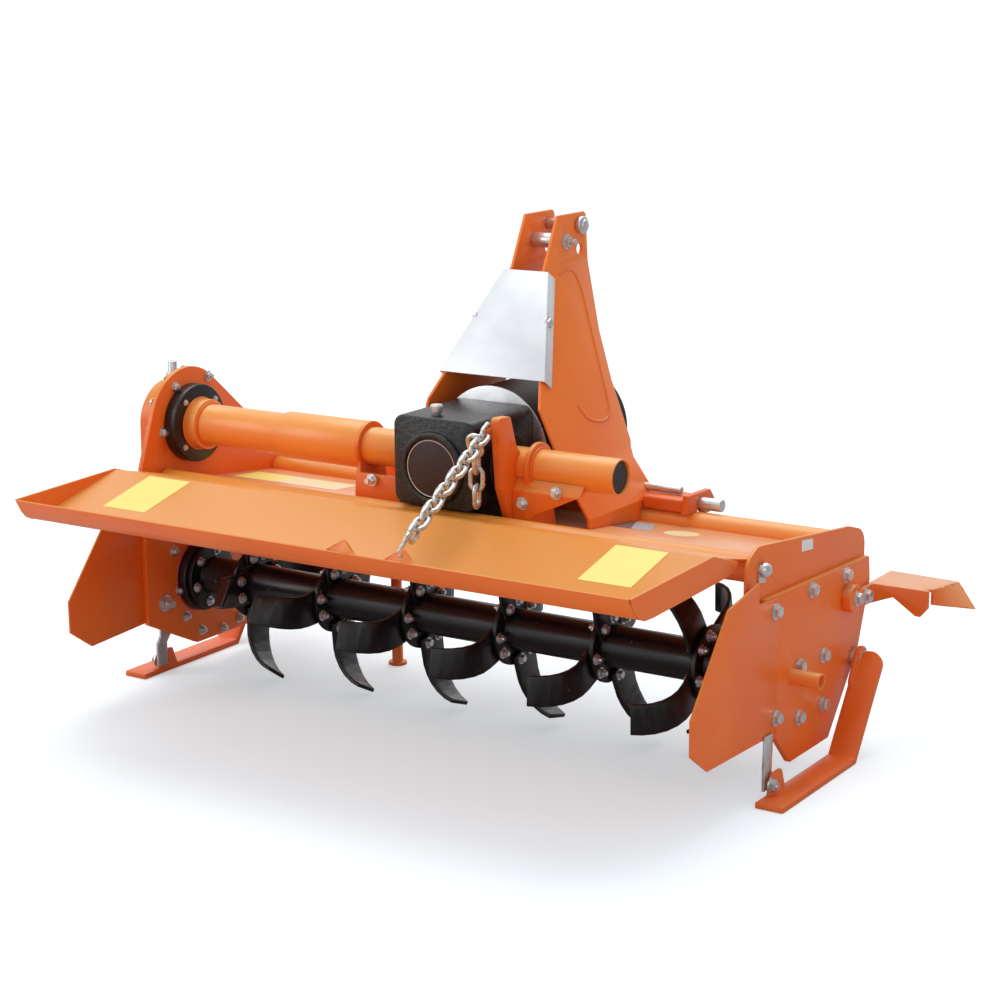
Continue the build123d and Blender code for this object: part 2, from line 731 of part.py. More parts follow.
board_inner_half = board_half_length - end_plate_thick
sheet = plate_x(ribbon(board_profile, board_thick), -board_inner_half, 2 * board_inner_half)
end_outline = [
    (-102.0, 388.0),
    (-177.0, 412.0),
    (-417.0, 405.0),
    (-404.0, 381.0),
    (-394.0, 370.0),
    (-380.0, 364.0),
    (-357.0, 363.0),
    (-141.0, 370.0),
    (-102.0, 376.0),
]
board_ends = []
for side in (-1, 1):
    x_low = min(side * board_half_length, side * board_inner_half)
    board_ends.append(plate_x(end_outline, x_low, board_half_length - board_inner_half))
pivot_tube = rod_x(-board_inner_half, board_inner_half, hinge_y, hinge_z, hinge_tube_radius)
pivot_clear = 0.1
pivot_bore = rod_x(-board_inner_half, board_inner_half, hinge_y, hinge_z, hinge_pin_radius + pivot_clear)
bush_length = 44.0
bush_half = board_inner_half - bush_length
pivot_bore += rod_x(-bush_half, bush_half, hinge_y, hinge_z, hinge_tube_radius - tube_wall)
lip_y, lip_z = board_profile[-1]
ear_base_z = lip_z - 5.0
ear_xs = [centre_x + ear_offset, centre_x + ear_offset - ear_spacing]
ears = []
for ear_x in ear_xs:
    base = [(ear_x - 43.0, lip_y + 7.0), (ear_x - 14.0, lip_y), (ear_x + 22.0, lip_y), (ear_x + 20.0, lip_y + 9.0)]
    peak = [(ear_x - 2.0, lip_y + 6.0), (ear_x, lip_y + 4.0), (ear_x + 2.0, lip_y + 4.0), (ear_x + 2.0, lip_y + 6.0)]
    low_face = make_face(Polyline(*base, close=True))
    high_face = make_face(Polyline(*peak, close=True))
    ears.append(loft([Pos(0, 0, ear_base_z) * low_face, Pos(0, 0, lip_z + ear_height) * high_face], ruled=True))
tailboard = moved_union([sheet, pivot_tube] + board_ends + ears) - pivot_bore
nodes["tailboard"] = tailboard
hinge_pins = []
for side in (-1, 1):
    outer = wall_outer_right + 6.0 if side > 0 else wall_outer_left
    x_a = side * (board_inner_half - bush_length + 2.0)
    x_b = side * outer
    hinge_pins.append(Part() + rod_x(min(x_a, x_b), max(x_a, x_b), hinge_y, hinge_z, hinge_pin_radius))
nodes["hinge_pins"] = Compound(children=hinge_pins)

# Chain from the hook pin to the tailboard's ear, and its loose tail


def chain_link(middle, direction, roll):
    """One link: a polygonal ring of hexagonal wire."""
    half = link_length / 2 - link_wire / 2
    side = link_width / 2 - link_wire / 2
    corner = side * 0.5
    points = [
        (half, corner * 0.5),
        (half - corner, side),
        (-half + corner, side),
        (-half, corner * 0.5),
        (-half, -corner * 0.5),
        (-half + corner, -side),
        (half - corner, -side),
        (half, -corner * 0.5),
    ]
    path = Polyline(*[(x, y, 0) for x, y in points], close=True)
    start = Plane(origin=path @ 0, z_dir=path % 0)
    ring = sweep(start * RegularPolygon(link_wire / 2, 6), path=path, transition=Transition.RIGHT)
    frame = Plane(origin=middle, x_dir=direction, z_dir=roll)
    return frame.location * ring


pitch = link_length - 2 * link_wire
pin_reach = link_length / 2 - link_wire - hook_pin_radius - seat_gap
across_x = Vector(1, 0, 0)
hook = Vector(bracket_inner_x - hook_pin_length / 2, hook_y, hook_z)
chain_end = Vector(ear_xs[0] - 8.0, lip_y + 24.0, lip_z + ear_height + 4.0)
heading = (chain_end - hook).normalized()
side_way = (across_x - heading * heading.X).normalized()
normal_up = heading.cross(side_way)
links = []
for number in range(link_count):
    middle = hook + heading * (pin_reach + pitch * number)
    roll = side_way if number % 2 == 0 else normal_up
    links.append(Part() + chain_link(middle, heading, roll))
nodes["chain"] = Compound(children=links)

# The tail hangs from one side of the chain's second link: its first link square to the chain, the others plumb
wire_offset = (link_width - link_wire) / 2 + 0.5
tail_drop = link_length / 2 - 1.5 * link_wire - 0.7
down = Vector(0, 0, -1)
heading_level = Vector(heading.X, heading.Y, 0).normalized()
across_level = down.cross(heading_level)
first_middle = hook + heading * (pin_reach + pitch) - side_way * wire_offset - normal_up * tail_drop
first_end = first_middle - normal_up * (pitch / 2)
tail_links = [Part() + chain_link(first_middle, normal_up * -1, heading)]
for number in range(tail_link_count - 1):
    middle = first_end + down * (pitch / 2 + pitch * number)
    roll = across_level if number % 2 == 0 else heading_level
    tail_links.append(Part() + chain_link(middle, down, roll))
nodes["chain_tail"] = Compound(children=tail_links)

# Skids, with an ear at each end, and their straps
skid_heel_y = -90.0
skid_bend_y = 172.0
skid_tip_y = 266.0
skid_tip_z = 137.0
skid_ear = 8.0
skid_ear_radius = 20.0
skid_spacer_radius = 14.0


def skid(side):
    """A flat bar: level sole, a bend, and a rising end rounded to a half circle."""
    low = skid_inner_x
    rise_y = skid_tip_y - skid_bend_y
    rise_z = skid_tip_z - skid_thick / 2
    rise = math.hypot(rise_y, rise_z)
    across = Vector(0, -rise_z / rise, rise_y / rise)
    face = Plane(origin=(low + skid_width / 2, skid_bend_y, skid_thick / 2), x_dir=(1, 0, 0), z_dir=across)
    outline = Pos(0, rise / 2) * Rectangle(skid_width, rise) + Pos(0, rise) * Circle(skid_width / 2)
    bar = block(low, low + skid_width, skid_heel_y, skid_bend_y, 0.0, skid_thick)
    bend = rod_x(low, low + skid_width, skid_bend_y, skid_thick / 2, skid_thick / 2)
    rising = extrude(face * outline, amount=skid_thick / 2, both=True)
    ear_discs = [(skid_pivot_y, skid_pivot_z, skid_ear_radius), (skid_tip_y - 14.0, skid_tip_z - 25.0, 14.0)]
    front_ear = hull_of_discs(ear_discs, low, skid_ear)
    rear_ear = plate_x([(-52.0, skid_thick), (-42.0, 42.0), (-12.0, 42.0), (0.0, skid_thick)], low, skid_ear)
    wall_x = bearing_outer_x if side > 0 else wall_outer_left
    spacer = rod_x(wall_x, low, skid_pivot_y, skid_pivot_z, skid_spacer_radius)
    whole = moved_union([bar, bend, rising, front_ear, rear_ear, spacer])
    if side < 0:
        whole = mirror(whole, about=Plane.YZ)
    return whole


nodes["skid_right"] = skid(1)
nodes["skid_left"] = skid(-1)


def skid_strap(wall_x):
    profile = [
        (wall_x, 104.0),
        (wall_x, 74.0),
        (skid_inner_x - 5.0, 58.0),
        (skid_inner_x - 5.0, 16.0),
        (skid_inner_x, 16.0),
        (skid_inner_x, 60.0),
        (wall_x + 5.0, 77.0),
        (wall_x + 5.0, 104.0),
    ]
    return prism_y(profile, -58.0, 26.0)


nodes["skid_strap_right"] = skid_strap(bearing_outer_x + skirt_thick)
nodes["skid_strap_left"] = mirror(skid_strap(wall_outer_left), about=Plane.YZ)

# Corner guards: a level plate ahead of each wall, a turned-down rear edge and a side wing that flares out
guard_plate = 5.0
guard_top_z = 258.0
guard_front_y = 420.0
guard_rear_y = 328.0
guard_fold_reach = 116.0
guard_reach_x = wall_outer_right + 179.0
guard_boss_y = 246.0
guard_boss_z = 252.0
guard_boss_radius = 23.0
guard_boss_depth = 16.0
guard_arm = 8.0


def corner_guard(wall_x):
    fold_rear = Vector(wall_x + guard_fold_reach - 8.0, guard_rear_y + 17.0, guard_top_z)
    fold_front = Vector(wall_x + guard_fold_reach + 9.0, guard_front_y - 8.0, guard_top_z)
    level = Plane(origin=(0, 0, guard_top_z - guard_plate), x_dir=(1, 0, 0), z_dir=(0, 0, 1))
    rear_middle = (wall_x + guard_fold_reach - 44.0, guard_rear_y)
    front_corner = (wall_x, guard_front_y)
    outline = Polyline(
        rear_middle, (wall_x, guard_rear_y + 2.0), front_corner, (fold_front.X, fold_front.Y), (fold_rear.X, fold_rear.Y)
    )
    curve = Spline((fold_rear.X, fold_rear.Y), rear_middle, tangents=((-1, -0.75), (-1, 0)))
    guard = extrude(level * make_face(outline + curve), amount=guard_plate)
    rear_flange = [
        (wall_x, guard_top_z),
        (wall_x, guard_top_z - 36.0),
        (wall_x + 44.0, guard_top_z - 19.0),
        (wall_x + 83.0, guard_top_z - 45.0),
        (wall_x + 92.0, guard_top_z - 46.0),
        (fold_rear.X, guard_top_z - 27.0),
        (fold_rear.X, guard_top_z),
    ]
    guard += prism_y(rear_flange, guard_rear_y, 6.0) & block(
        wall_x, fold_rear.X - 2.0, guard_rear_y, guard_rear_y + 6.0, 0, guard_top_z
    )
    wing_faces = []
    for top, low in (
        (fold_rear, Vector(fold_rear.X, fold_rear.Y, guard_top_z - 27.0)),
        (fold_front, Vector(guard_reach_x - guard_plate, guard_front_y - 26.0, guard_top_z - 38.0)),
    ):
        inward = Vector(-guard_plate, 0, 0)
        wing_faces.append(make_face(Polyline(top, low, low + inward, top + inward, close=True)))
    guard += loft(wing_faces, ruled=True)
    arm_front_y = guard_front_y - 10.0
    arm = [
        (guard_boss_y, guard_boss_z - guard_boss_radius),
        (guard_boss_y, guard_top_z),
        (arm_front_y, guard_top_z),
        (arm_front_y, guard_top_z - 36.0),
    ]
    guard += plate_x(arm, wall_x, guard_arm)
    guard += rod_x(wall_x, wall_x + guard_boss_depth, guard_boss_y, guard_boss_z, guard_boss_radius)
    return guard


nodes["corner_guard_right"] = corner_guard(bearing_outer_x)
nodes["corner_guard_left"] = mirror(corner_guard(wall_outer_left), about=Plane.YZ)

# Parking stand: sleeve on the deck, and a leg with a foot
sleeve_outer = stand_radius + 5.0
sleeve_base_z = deck_z(stand_y) - 20.0
stand_sleeve = rod_z(sleeve_base_z, sleeve_base_z + 70.0, stand_x, stand_y, sleeve_outer)
nodes["stand_sleeve"] = stand_sleeve - rod_z(0, 600, stand_x, stand_y, stand_radius + 0.1)
stand_leg = rod_z(4.0, sleeve_base_z + 100.0, stand_x, stand_y, stand_radius)
nodes["stand_leg"] = stand_leg + rod_z(0.0, 6.0, stand_x, stand_y, stand_foot_radius)

for name, shape in nodes.items():
    export_step(shape, "parts/" + name + ".step")
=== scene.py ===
import bpy
import bmesh
import json
import math
from mathutils import Matrix, Vector
from mathutils.bvhtree import BVHTree


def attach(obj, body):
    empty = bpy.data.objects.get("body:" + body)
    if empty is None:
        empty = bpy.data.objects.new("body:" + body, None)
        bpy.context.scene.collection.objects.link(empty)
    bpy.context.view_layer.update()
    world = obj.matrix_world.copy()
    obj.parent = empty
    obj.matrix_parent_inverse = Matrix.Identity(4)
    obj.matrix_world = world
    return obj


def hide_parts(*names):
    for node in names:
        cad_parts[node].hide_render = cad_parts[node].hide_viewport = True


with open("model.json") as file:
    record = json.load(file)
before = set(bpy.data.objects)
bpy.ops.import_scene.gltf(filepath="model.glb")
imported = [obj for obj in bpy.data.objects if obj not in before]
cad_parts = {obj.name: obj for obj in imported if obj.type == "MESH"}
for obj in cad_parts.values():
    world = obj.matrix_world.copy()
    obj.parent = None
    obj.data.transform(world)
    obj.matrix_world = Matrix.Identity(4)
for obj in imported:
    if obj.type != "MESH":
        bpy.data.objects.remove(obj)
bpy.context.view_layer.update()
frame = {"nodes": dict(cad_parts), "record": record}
nodes = frame["nodes"]


def in_scene(name, data):
    """Links a new object with the given data into the scene."""
    made = bpy.data.objects.new(name, data)
    bpy.context.scene.collection.objects.link(made)
    return made


# Colours and shader nodes


def paint(code):
    """An sRGB hex colour as linear RGBA."""
    values = []
    for start in (0, 2, 4):
        v = int(code[start:start + 2], 16) / 255
        values.append(v / 12.92 if v <= 0.04045 else ((v + 0.055) / 1.055) ** 2.4)
    return (*values, 1.0)


def add(tree, kind, links=None, **settings):
    """Adds one node; settings name its properties or its input sockets, links its inputs' sources."""
    made = tree.nodes.new(kind)
    sockets = {socket.name.lower(): socket for socket in reversed(made.inputs)}
    for key, value in settings.items():
        label = key.replace("_", " ")
        if key[0] == "_":
            made.inputs[int(key[1:])].default_value = value
        elif label in sockets:
            sockets[label].default_value = value
        else:
            setattr(made, key, value)
    for key, source in (links or {}).items():
        socket = made.inputs[key]
        tree.links.new(source, socket)
    return made


def new_material(name):
    made = bpy.data.materials.new(name)
    made.use_nodes = True
    made.node_tree.nodes.clear()
    return made, made.node_tree


def finish_material(tree, shader):
    out = add(tree, "ShaderNodeOutputMaterial")
    tree.links.new(shader.outputs[0], out.inputs["Surface"])


def object_place(tree):
    return add(tree, "ShaderNodeTexCoord").outputs["Object"]


def tinted(tree, place, scale_mm, dark, light, low, high, detail):
    """A noise of the given grain in millimetres, ramped between two colours."""
    noise = add(tree, "ShaderNodeTexNoise", {"Vector": place}, scale=1000.0 / scale_mm, detail=detail)
    ramp = add(tree, "ShaderNodeValToRGB", {"Fac": noise.outputs["Fac"]})
    ramp.color_ramp.elements[0].position = low
    ramp.color_ramp.elements[0].color = dark
    ramp.color_ramp.elements[1].position = high
    ramp.color_ramp.elements[1].color = light
    return noise, ramp


def rough_band(tree, source, low, high):
    return add(tree, "ShaderNodeMapRange", {"Value": source}, to_min=low, to_max=high).outputs[0]


def bumped(tree, source, strength, depth_mm):
    bump = add(tree, "ShaderNodeBump", {"Height": source}, strength=strength, distance=depth_mm / 1000)
    return bump.outputs[0]


def enamel(name, dark, light, rough, coat, peel_mm=2.0, peel=0.08, painted_top_light=None, scuff=None):
    """An even colour with a faint orange peel and, where asked, a painted highlight that makes faces pointing
    up paler, and rubbed spots.
    """
    made, tree = new_material(name)
    place = object_place(tree)
    cloud, ramp = tinted(tree, place, 160.0, paint(dark), paint(light), 0.3, 0.7, 3.0)
    peel_noise = add(tree, "ShaderNodeTexNoise", {"Vector": place}, scale=1000.0 / peel_mm, detail=2.0)
    colour = ramp.outputs["Color"]
    if painted_top_light:
        # Painted light: faces that point up are mixed toward a paler colour, a painted highlight for the
        # light that falls on them from above.
        facing = add(tree, "ShaderNodeSeparateXYZ", {0: add(tree, "ShaderNodeTexCoord").outputs["Normal"]})
        top_light_share = add(tree, "ShaderNodeMapRange", {"Value": facing.outputs["Z"]}, from_min=0.15, from_max=0.95)
        mixed = add(tree, "ShaderNodeMix", {0: top_light_share.outputs[0], 6: colour}, data_type="RGBA", _7=paint(painted_top_light))
        colour = mixed.outputs[2]
    if scuff:
        speck_mm = 26.0
        speck = {"scale": 1000.0 / speck_mm, "detail": 9.0, "roughness": 0.72}
        rubbed = add(tree, "ShaderNodeTexNoise", {"Vector": place}, **speck)
        fac = rubbed.outputs["Fac"]
        share = add(tree, "ShaderNodeMapRange", {"Value": fac}, from_min=0.655, from_max=0.7)
        rubbed_paint = {"data_type": "RGBA", "_7": paint(scuff)}
        mixed = add(tree, "ShaderNodeMix", {0: share.outputs[0], 6: colour}, **rubbed_paint)
        colour = mixed.outputs[2]
    shader = add(
        tree,
        "ShaderNodeBsdfPrincipled",
        {
            "Base Color": colour,
            "Roughness": rough_band(tree, cloud.outputs["Fac"], rough - 0.05, rough + 0.07),
            "Normal": bumped(tree, peel_noise.outputs["Fac"], peel, 0.15),
        },
        ior=1.5,
    )
    shader.inputs["Coat Weight"].default_value = coat
    shader.inputs["Coat Roughness"].default_value = 0.12
    finish_material(tree, shader)
    return made


def zinc(name, dark, light, rough, grain_mm, bump, metallic):
    """A pale metal, zinc plated or bare, slightly mottled in colour and in roughness."""
    made, tree = new_material(name)
    place = object_place(tree)
    noise, ramp = tinted(tree, place, grain_mm, paint(dark), paint(light), 0.35, 0.7, 5.0)
    shader = add(
        tree,
        "ShaderNodeBsdfPrincipled",
        {
            "Base Color": ramp.outputs["Color"],
            "Roughness": rough_band(tree, noise.outputs["Fac"], rough - 0.08, rough + 0.12),
            "Normal": bumped(tree, noise.outputs["Fac"], bump, 0.1),
        },
        metallic=metallic,
    )
    finish_material(tree, shader)
    return made


def casting(name, dark, light, rough, grain_mm, bump):
    """A sand casting under thin paint: pitted, with a satin sheen."""
    made, tree = new_material(name)
    place = object_place(tree)
    grit, ramp = tinted(tree, place, grain_mm, paint(dark), paint(light), 0.4, 0.75, 6.0)
    shader = add(
        tree,
        "ShaderNodeBsdfPrincipled",
        {
            "Base Color": ramp.outputs["Color"],
            "Roughness": rough_band(tree, grit.outputs["Fac"], rough - 0.1, rough + 0.15),
            "Normal": bumped(tree, grit.outputs["Fac"], bump, 1.4),
        },
        ior=1.5,
    )
    finish_material(tree, shader)
    return made


# The orange is one paint. The mast and tube copies are brighter and yellower as painted light, the bar copy
# is darker as painted shade, and the deck sheet copy has a paler painted highlight on its tops.
orange = enamel("orange_sprayed_enamel", "F0681A", "F67420", 0.38, 0.05, painted_top_light="E2923A")
orange_shaded = enamel("orange_enamel_painted_shade", "E4651E", "EC7026", 0.4, 0.05)
orange_lit_mast = enamel("orange_enamel_painted_light_mast", "FA7A26", "FD842E", 0.36, 0.05)
orange_lit_tube = enamel("orange_enamel_painted_light_tube", "FC8E34", "FE963C", 0.34, 0.1, painted_top_light="F0A24C")
orange_welded = enamel("orange_enamel_on_weld", "E06420", "EE762C", 0.42, 0.1, 5.0, 0.6)
orange_pale_top = enamel("orange_enamel_deck_paler_painted_highlight", "F0681A", "F67420", 0.34, 0.1, painted_top_light="E6A06E")
black_gloss = enamel("black_gloss_enamel", "0C0C0E", "161619", 0.32, 0.1, 6.0, 0.25, scuff="77787C")
black_cast = casting("black_painted_cast_iron", "101012", "2A2A2D", 0.36, 9.0, 1.0)
brown_cast = casting("dark_brown_painted_cover", "2C1716", "371F1E", 0.5, 3.0, 0.15)
zinc_sheet = zinc("galvanised_sheet", "DDE2E8", "E9EDF1", 0.42, 60.0, 0.02, 0.45)
zinc_bolt = zinc("bright_zinc_plated_steel", "CACCCE", "E2E2E2", 0.28, 16.0, 0.02, 0.8)
zinc_dull = zinc("dull_zinc_plated_steel", "C2C6CA", "DCDFE2", 0.4, 16.0, 0.02, 0.35)
zinc_chain = zinc("zinc_plated_chain_wire", "B8B6B2", "E6E4E0", 0.3, 4.0, 0.2, 0.85)
bare_steel = zinc("turned_bare_steel", "C2C4C7", "E0E2E4", 0.24, 60.0, 0.02, 0.95)
black_plastic = enamel("black_moulded_polyethylene", "0C0C0D", "161618", 0.5, 0.0, 8.0, 0.2)
sealant = enamel("black_gasket_sealant", "0B0B0C", "151517", 0.55, 0.0, 4.0, 0.5)
red_mark = enamel("red_marking_paint", "B23A40", "C65050", 0.5, 0.0, 4.0, 0.3)
yellow_vinyl = enamel("yellow_vinyl_sticker", "EBDD70", "F0E37C", 0.45, 0.0, 30.0, 0.02)
white_vinyl = enamel("white_vinyl_label", "E0DCD8", "EAE7E4", 0.45, 0.0, 30.0, 0.02)
pale_vinyl = enamel("pale_yellow_vinyl_label", "E8D69C", "EEDFAA", 0.45, 0.0, 30.0, 0.02)
grey_vinyl = enamel("pale_grey_vinyl_label", "A4A9AC", "AEB3B6", 0.45, 0.0, 30.0, 0.02)
grey_plate = enamel("grey_anodised_blank_plate", "5A5C62", "6E7076", 0.4, 0.1, 20.0, 0.05)

finish_of = {
    "gloss_black_paint": black_gloss,
    "black_casting": black_cast,
    "zinc_plate": zinc_bolt,
    "black_plastic": black_plastic,
    "orange_paint": orange,
}
slot_of = {part["node"]: part["material_slot"] for part in frame["record"]["subparts"]}
# Mast, tubes, skids, hitch, deck and guards get the copies of the orange that carry painted light or painted
# shade.
own_finish = {
    "mast_cover": zinc_sheet,
    "guard_disc": bare_steel,
    "chain_case_gasket": sealant,
    "gearbox_cover": brown_cast,
    "pto_shaft": bare_steel,
    "hood_deck": orange_pale_top,
    "corner_guard_left": orange_pale_top,
    "corner_guard_right": orange_pale_top,
    "hood_front_tube": orange_lit_tube,
    "mast_plate_left": orange_lit_mast,
    "mast_plate_right": orange_lit_mast,
    "skid_left": orange_shaded,
    "skid_right": orange_shaded,
    "hitch_beams": orange_shaded,
    "hitch_lugs": orange_shaded,
    "drive_tube_left": orange_lit_tube,
    "drive_tube_right": orange_lit_tube,
}
for name, piece in nodes.items():
    finish = own_finish.get(name, finish_of[slot_of[name]])
    piece.data.materials.clear()
    piece.data.materials.append(finish)

# Edges: a copy of each hard-edged CAD node, with its edges broken as paint, pressing and casting leave them

body_of = {"rotor_shaft": "rotor", "rotor_tines": "rotor", "tailboard": "tailboard", "stand_leg": "stand"}
usual_edge_mm = 1.1
edge_mm = {
    "gearbox_housing": 3.0,
    "rotor_tines": 1.6,
    "tailboard": 0.9,
    "mast_cover": 0.7,
    "guard_disc": 0.6,
    "chain_case_cover": 2.0,
    "skid_right": 2.0,
    "skid_left": 2.0,
    "hitch_lugs": 1.5,
    "hitch_beams": 4.0,
    "drive_bearing_left": 2.0,
    "rotor_bearing_left": 3.0,
    "rotor_bearing_right": 2.5,
    "lower_hitch_pins": 2.0,
    "top_link_pin": 2.0,
}
weld_distance = 2e-5
flat_within = math.radians(0.6)
bevelled_from = math.radians(28.0)
node_sharp_from = math.radians(38.0)
turned_sharp_from = math.radians(35.0)
slip_share = 0.6
kept_plain = {"chain", "chain_tail", "guard_bell", "pto_shaft"}


def broken_edges(name, width):
    """Stands in for a CAD node with a small round on every hard edge, so that each edge catches the light."""
    mesh = nodes[name].data.copy()
    mesh.name = name + "_painted"
    shape = bmesh.new()
    shape.from_mesh(mesh)
    bmesh.ops.remove_doubles(shape, verts=shape.verts, dist=weld_distance)
    bmesh.ops.dissolve_limit(shape, angle_limit=flat_within, verts=shape.verts, edges=shape.edges)
    skin = BVHTree.FromBMesh(shape)
    hard = [e for e in shape.edges if len(e.link_faces) == 2 and e.calc_face_angle(0.0) > bevelled_from]
    cut = {"offset": width / 1000, "segments": 2, "profile": 0.5, "affect": "EDGES", "clamp_overlap": False}
    bmesh.ops.bevel(shape, geom=hard, **cut)
    # A vertex that the bevel throws off the node's own surface, by this share of its width, goes back to it
    for vertex in shape.verts:
        nearest, _, _, distance = skin.find_nearest(vertex.co)
        if distance > slip_share * width / 1000:
            vertex.co = nearest
    bmesh.ops.remove_doubles(shape, verts=shape.verts, dist=weld_distance)
    for face in shape.faces:
        face.smooth = True
    shape.to_mesh(mesh)
    shape.free()
    mesh.set_sharp_from_angle(angle=node_sharp_from)
    piece = in_scene(name + "_painted", mesh)
    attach(piece, body_of.get(name, "frame"))
    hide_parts(name)


for name in nodes:
    if name not in kept_plain:
        broken_edges(name, edge_mm.get(name, usual_edge_mm))

# Geometry-node trees for what repeats


def new_tree(name, inputs):
    tree = bpy.data.node_groups.new(name, "GeometryNodeTree")
    tree.interface.new_socket("Geometry", in_out="INPUT", socket_type="NodeSocketGeometry")
    tree.interface.new_socket("Geometry", in_out="OUTPUT", socket_type="NodeSocketGeometry")
    for label, value in inputs.items():
        kind = "NodeSocketMaterial" if label == "Finish" else "NodeSocketFloat"
        socket = tree.interface.new_socket(label, in_out="INPUT", socket_type=kind)
        socket.default_value = value
    start = add(tree, "NodeGroupInput")
    end = add(tree, "NodeGroupOutput")
    return tree, start.outputs, end.inputs["Geometry"]


def sum_of(tree, *terms):
    total = terms[0]
    for term in terms[1:]:
        total = add(tree, "ShaderNodeMath", {0: total, 1: term}, operation="ADD").outputs[0]
    return total


def scaled(tree, source, factor):
    return add(tree, "ShaderNodeMath", {0: source}, operation="MULTIPLY", _1=factor).outputs[0]


def lifted(tree, geometry, height):
    offset = add(tree, "ShaderNodeCombineXYZ", {"Z": height}).outputs[0]
    return add(tree, "GeometryNodeTransform", {"Geometry": geometry, "Translation": offset}).outputs[0]


def bolt_tree():
    """A washer, a six-sided head with a chamfered top, and a thread that may stand out of it."""
    sizes = {"Head Radius": 0.01, "Head Height": 0.007, "Washer Radius": 0.013, "Washer Thickness": 0.0025,
             "Thread Length": 0.0, "Thread Radius": 0.005, "Finish": zinc_bolt}
    tree, given, result = new_tree("hexagon_bolts", sizes)
    disc = {"Radius": given["Washer Radius"], "Depth": given["Washer Thickness"]}
    washer = add(tree, "GeometryNodeMeshCylinder", disc, vertices=20)
    hexagon = {"Radius": given["Head Radius"], "Depth": given["Head Height"]}
    head = add(tree, "GeometryNodeMeshCylinder", hexagon, vertices=6)
    crown_height = scaled(tree, given["Head Height"], 0.22)
    crown_top = scaled(tree, given["Head Radius"], 0.82)
    chamfer = {"Radius Bottom": given["Head Radius"], "Radius Top": crown_top, "Depth": crown_height}
    crown = add(tree, "GeometryNodeMeshCone", chamfer, vertices=6)
    sunk = scaled(tree, given["Head Height"], -0.1)
    thread_depth = sum_of(tree, given["Thread Length"], given["Head Height"])
    rod = {"Radius": given["Thread Radius"], "Depth": thread_depth}
    thread = add(tree, "GeometryNodeMeshCylinder", rod, vertices=12)
    washer_top = given["Washer Thickness"]
    head_top = sum_of(tree, washer_top, given["Head Height"])
    half_thread = scaled(tree, thread_depth, -0.5)
    thread_middle = sum_of(tree, head_top, crown_height, sunk, given["Thread Length"], half_thread)
    parts = [
        lifted(tree, washer.outputs[0], scaled(tree, washer_top, 0.5)),
        lifted(tree, head.outputs[0], sum_of(tree, washer_top, scaled(tree, given["Head Height"], 0.5))),
        lifted(tree, crown.outputs[0], head_top),
        lifted(tree, thread.outputs[0], thread_middle),
    ]
    joined = add(tree, "GeometryNodeJoinGeometry")
    for part in parts:
        tree.links.new(part, joined.inputs[0])
    axis = add(tree, "GeometryNodeInputNamedAttribute", data_type="FLOAT_VECTOR")
    axis.inputs["Name"].default_value = "axis"
    turn = add(tree, "FunctionNodeAlignRotationToVector", {"Vector": axis.outputs[0]}, axis="Z")
    copies = add(
        tree,
        "GeometryNodeInstanceOnPoints",
        {"Points": given["Geometry"], "Instance": joined.outputs[0], "Rotation": turn.outputs[0]},
    )
    real = add(tree, "GeometryNodeRealizeInstances", {"Geometry": copies.outputs[0]})
    dressed = add(tree, "GeometryNodeSetMaterial", {"Geometry": real.outputs[0], "Material": given["Finish"]})
    tree.links.new(dressed.outputs[0], result)
    return tree


def link_tree():
    """A welded chain link: a round wire bent into a long ring."""
    sizes = {"Link Length": 0.044, "Link Width": 0.029, "Wire": 0.008, "Finish": zinc_chain}
    tree, given, result = new_tree("welded_chain_links", sizes)
    bend = scaled(tree, sum_of(tree, given["Link Width"], scaled(tree, given["Wire"], -1.0)), 0.5)
    ring = add(tree, "GeometryNodeCurvePrimitiveCircle", {"Radius": bend}, resolution=28)
    place = add(tree, "GeometryNodeInputPosition")
    split = add(tree, "ShaderNodeSeparateXYZ", {0: place.outputs[0]})
    side = add(tree, "ShaderNodeMath", {0: split.outputs[0]}, operation="SIGN")
    stretch = scaled(tree, sum_of(tree, given["Link Length"], scaled(tree, given["Link Width"], -1.0)), 0.5)
    shift = add(tree, "ShaderNodeMath", {0: side.outputs[0], 1: stretch}, operation="MULTIPLY")
    offset = add(tree, "ShaderNodeCombineXYZ", {"X": shift.outputs[0]})
    moved = {"Geometry": ring.outputs[0], "Offset": offset.outputs[0]}
    long_ring = add(tree, "GeometryNodeSetPosition", moved)
    wire_radius = scaled(tree, given["Wire"], 0.5)
    round_wire = add(tree, "GeometryNodeCurvePrimitiveCircle", {"Radius": wire_radius}, resolution=12)
    path = {"Curve": long_ring.outputs[0], "Profile Curve": round_wire.outputs[0]}
    swept = add(tree, "GeometryNodeCurveToMesh", path)
    turn = add(tree, "GeometryNodeInputNamedAttribute", data_type="FLOAT_VECTOR")
    turn.inputs["Name"].default_value = "turn"
    rotation = add(tree, "FunctionNodeEulerToRotation", {0: turn.outputs[0]})
    copies = add(
        tree,
        "GeometryNodeInstanceOnPoints",
        {"Points": given["Geometry"], "Instance": swept.outputs[0], "Rotation": rotation.outputs[0]},
    )
    real = add(tree, "GeometryNodeRealizeInstances", {"Geometry": copies.outputs[0]})
    smooth = add(tree, "GeometryNodeSetShadeSmooth", {"Geometry": real.outputs[0]})
    coated = {"Geometry": smooth.outputs[0], "Material": given["Finish"]}
    dressed = add(tree, "GeometryNodeSetMaterial", coated)
    tree.links.new(dressed.outputs[0], result)
    return tree


def mm(*values):
    return tuple(v / 1000 for v in values)


def baked_mesh(holder):
    """The mesh that a holder's modifiers or curve settings give."""
    bpy.context.view_layer.update()
    return bpy.data.meshes.new_from_object(holder.evaluated_get(bpy.context.evaluated_depsgraph_get()))


